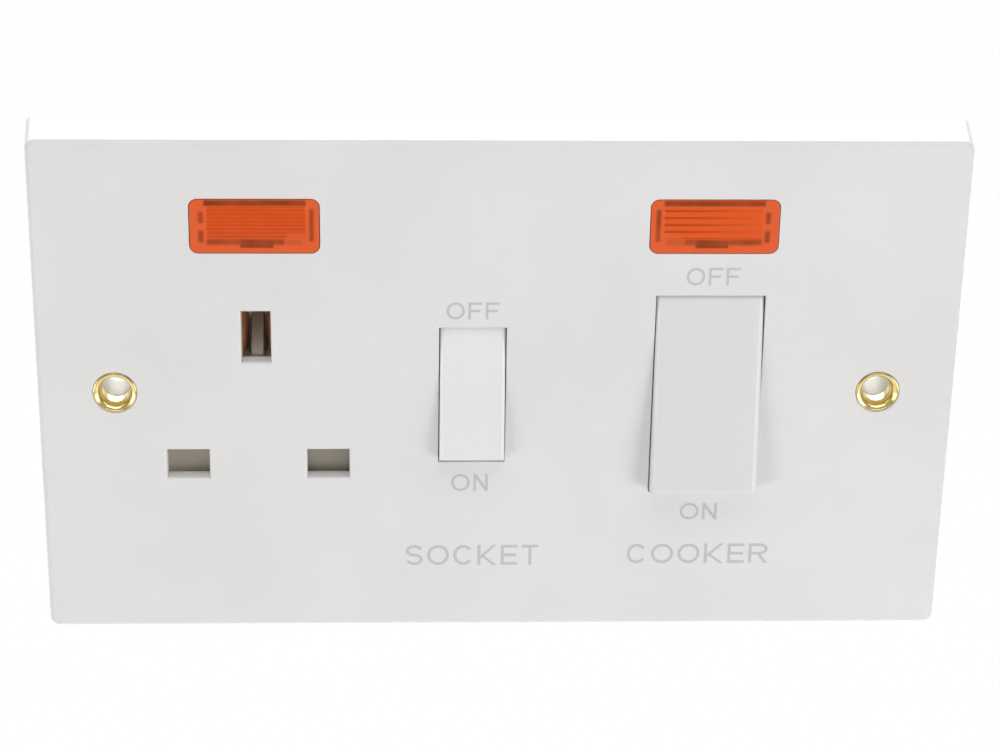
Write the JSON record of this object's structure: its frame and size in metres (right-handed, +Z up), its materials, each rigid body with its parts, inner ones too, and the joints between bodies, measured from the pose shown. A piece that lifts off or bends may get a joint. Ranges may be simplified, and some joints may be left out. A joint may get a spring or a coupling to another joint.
{
  "type": "cooker control unit",
  "caption": "Wide white wall plate with a shuttered three-pin socket and its rocker switch, a larger rocker switch for a cooker, amber lamp windows and rear cable terminals.",
  "frame": {"origin": "midway between the two wall screw holes, on the plane of the wall", "axes": "+X to the right as seen from the room, +Z up, -Y out of the wall towards the room"},
  "size_m": [0.146, 0.035, 0.086],
  "materials": {
    "plate_white": "moulded white, even soft gloss",
    "rocker_white": "moulded white, even gloss",
    "rear_moulding": "moulded white, satin",
    "shutter_grey": "moulded stone grey, satin",
    "plunger_nylon": "natural moulding",
    "amber_lens": "clear amber moulding, ribbed",
    "lamp_glass": "clear glass",
    "resistor_body": "lacquered body",
    "eyelet_brass": "bright turned and rolled",
    "contact_brass": "pressed strip",
    "terminal_brass": "drawn and drilled bar",
    "contact_silver": "silver alloy facing",
    "plated_screws": "zinc plated",
    "spring_steel": "drawn spring wire"
  },
  "bodies": {
    "housing": {"front_plate": "plate_white", "rear_base": "rear_moulding", "socket_lens": "amber_lens", "cooker_lens": "amber_lens", "socket_neon_lamp": "lamp_glass", "cooker_neon_lamp": "lamp_glass", "socket_neon_resistor": "resistor_body", "cooker_neon_resistor": "resistor_body", "fixing_eyelets": "eyelet_brass", "live_contact": "contact_brass", "neutral_contact": "contact_brass", "earth_contact": "contact_brass", "earth_strap": "contact_brass", "live_busbar": "contact_brass", "neutral_busbar": "contact_brass", "live_load_bar": "contact_brass", "neutral_load_bar": "contact_brass", "live_in_terminal": "terminal_brass", "neutral_in_terminal": "terminal_brass", "live_out_terminal": "terminal_brass", "neutral_out_terminal": "terminal_brass", "earth_in_terminal": "terminal_brass", "earth_out_terminal": "terminal_brass", "socket_fixed_tip": "contact_silver", "live_fixed_tip": "contact_silver", "neutral_fixed_tip": "contact_silver", "terminal_screws": "plated_screws", "earth_screws": "plated_screws", "assembly_screws": "plated_screws", "shutter_spring": "spring_steel"},
    "socket_rocker": {"socket_rocker": "rocker_white", "socket_plunger_spring": "spring_steel"},
    "cooker_rocker": {"cooker_rocker": "rocker_white", "live_plunger_spring": "spring_steel", "neutral_plunger_spring": "spring_steel"},
    "socket_plunger": {"socket_plunger": "plunger_nylon"},
    "live_plunger": {"live_plunger": "plunger_nylon"},
    "neutral_plunger": {"neutral_plunger": "plunger_nylon"},
    "socket_blade": {"socket_blade": "contact_brass", "socket_blade_tip": "contact_silver"},
    "live_blade": {"live_blade": "contact_brass", "live_blade_tip": "contact_silver"},
    "neutral_blade": {"neutral_blade": "contact_brass", "neutral_blade_tip": "contact_silver"},
    "shutter": {"shutter": "shutter_grey"}
  },
  "joints": [
    {"name": "socket_rocker_pivot", "type": "hinge", "parent": "housing", "child": "socket_rocker", "pos_m": [-0.0041, -0.0052, -0.00055], "axis": [1, 0, 0], "range_deg": [0, 16]},
    {"name": "cooker_rocker_pivot", "type": "hinge", "parent": "housing", "child": "cooker_rocker", "pos_m": [0.033, -0.0052, -0.00055], "axis": [1, 0, 0], "range_deg": [0, 14.6]},
    {"name": "socket_plunger_travel", "type": "slide", "parent": "socket_rocker", "child": "socket_plunger", "axis": [0, -0.9903, 0.1392], "range_m": [0, 0.0008], "stiffness_N_per_m": 1500, "springref_m": -0.002, "deforming": ["socket_plunger_spring"]},
    {"name": "live_plunger_travel", "type": "slide", "parent": "cooker_rocker", "child": "live_plunger", "axis": [0, -0.9919, 0.1271], "range_m": [0, 0.0008], "stiffness_N_per_m": 1500, "springref_m": -0.002, "deforming": ["live_plunger_spring"]},
    {"name": "neutral_plunger_travel", "type": "slide", "parent": "cooker_rocker", "child": "neutral_plunger", "axis": [0, -0.9919, 0.1271], "range_m": [0, 0.0008], "stiffness_N_per_m": 1500, "springref_m": -0.002, "deforming": ["neutral_plunger_spring"]},
    {"name": "socket_blade_rock", "type": "hinge", "parent": "housing", "child": "socket_blade", "pos_m": [-0.0041, 0.0041, -0.00055], "axis": [1, 0, 0], "range_deg": [-17.5, 0]},
    {"name": "live_blade_rock", "type": "hinge", "parent": "housing", "child": "live_blade", "pos_m": [0.0275, 0.0041, -0.00055], "axis": [1, 0, 0], "range_deg": [-18.4, 0]},
    {"name": "neutral_blade_rock", "type": "hinge", "parent": "housing", "child": "neutral_blade", "pos_m": [0.0385, 0.0041, -0.00055], "axis": [1, 0, 0], "range_deg": [-18.4, 0]},
    {"name": "shutter_slide", "type": "slide", "parent": "housing", "child": "shutter", "axis": [0, 0, -1], "range_m": [0, 0.0086], "stiffness_N_per_m": 60, "springref_m": -0.01, "deforming": ["shutter_spring"]}
  ],
  "couplings": [
    {"joint": "socket_blade_rock", "follows": "socket_rocker_pivot", "ratio": -1},
    {"joint": "live_blade_rock", "follows": "cooker_rocker_pivot", "ratio": -1.1575},
    {"joint": "neutral_blade_rock", "follows": "cooker_rocker_pivot", "ratio": -1.1575}
  ]
}
